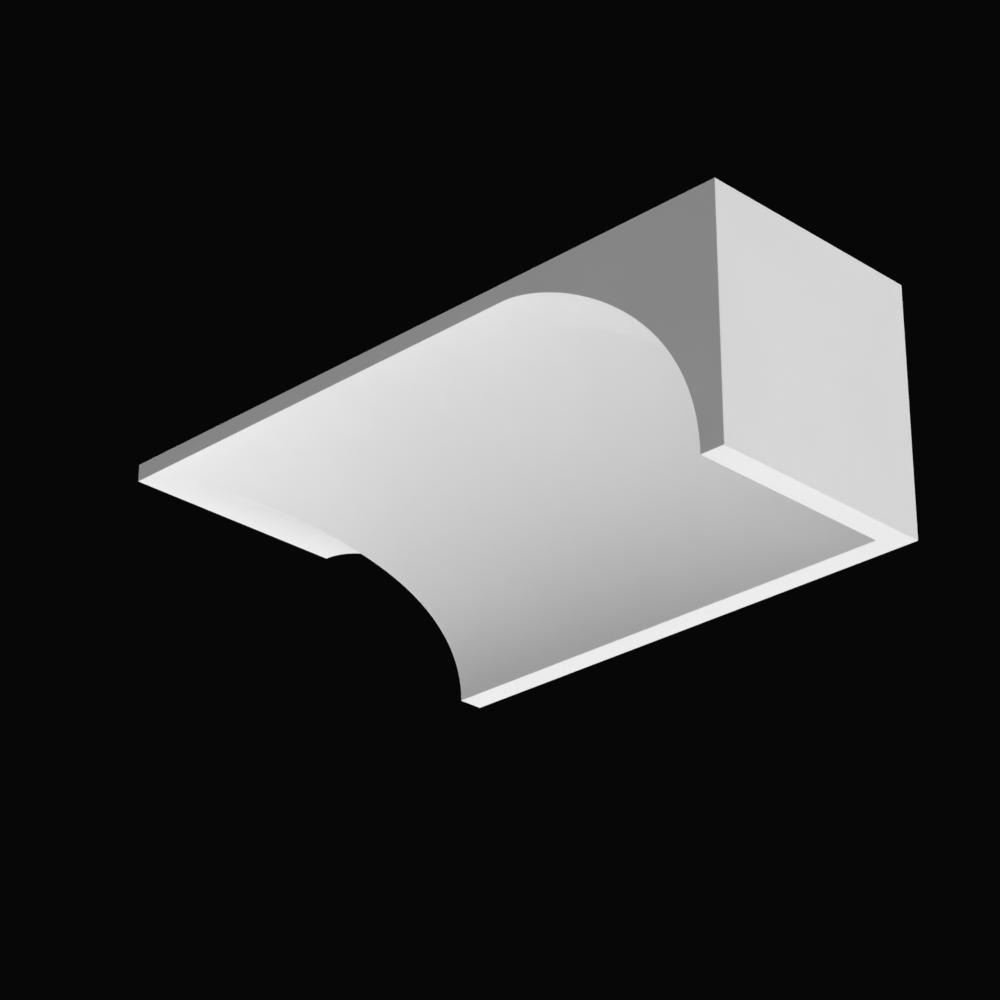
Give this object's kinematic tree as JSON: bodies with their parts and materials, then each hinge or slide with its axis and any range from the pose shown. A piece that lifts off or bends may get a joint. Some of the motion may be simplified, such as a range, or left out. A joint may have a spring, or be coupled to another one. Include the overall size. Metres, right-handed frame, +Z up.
{
  "type": "crown moulding",
  "caption": "Plain cove crown moulding for the joint of wall and ceiling, turning an inside corner and then an outside corner, cast solid with flat backs.",
  "frame": {"origin": "middle of the flat top, on the ceiling", "axes": "+Z up into the ceiling; +X along the long wall, towards the inside corner; +Y into the long wall, so that -Y points into the room"},
  "size_m": [0.3, 0.1, 0.1],
  "materials": {
    "plaster": "matte white cast gypsum plaster, smooth and unpainted"
  },
  "bodies": {
    "root": {"moulding": "plaster"}
  },
  "joints": []
}
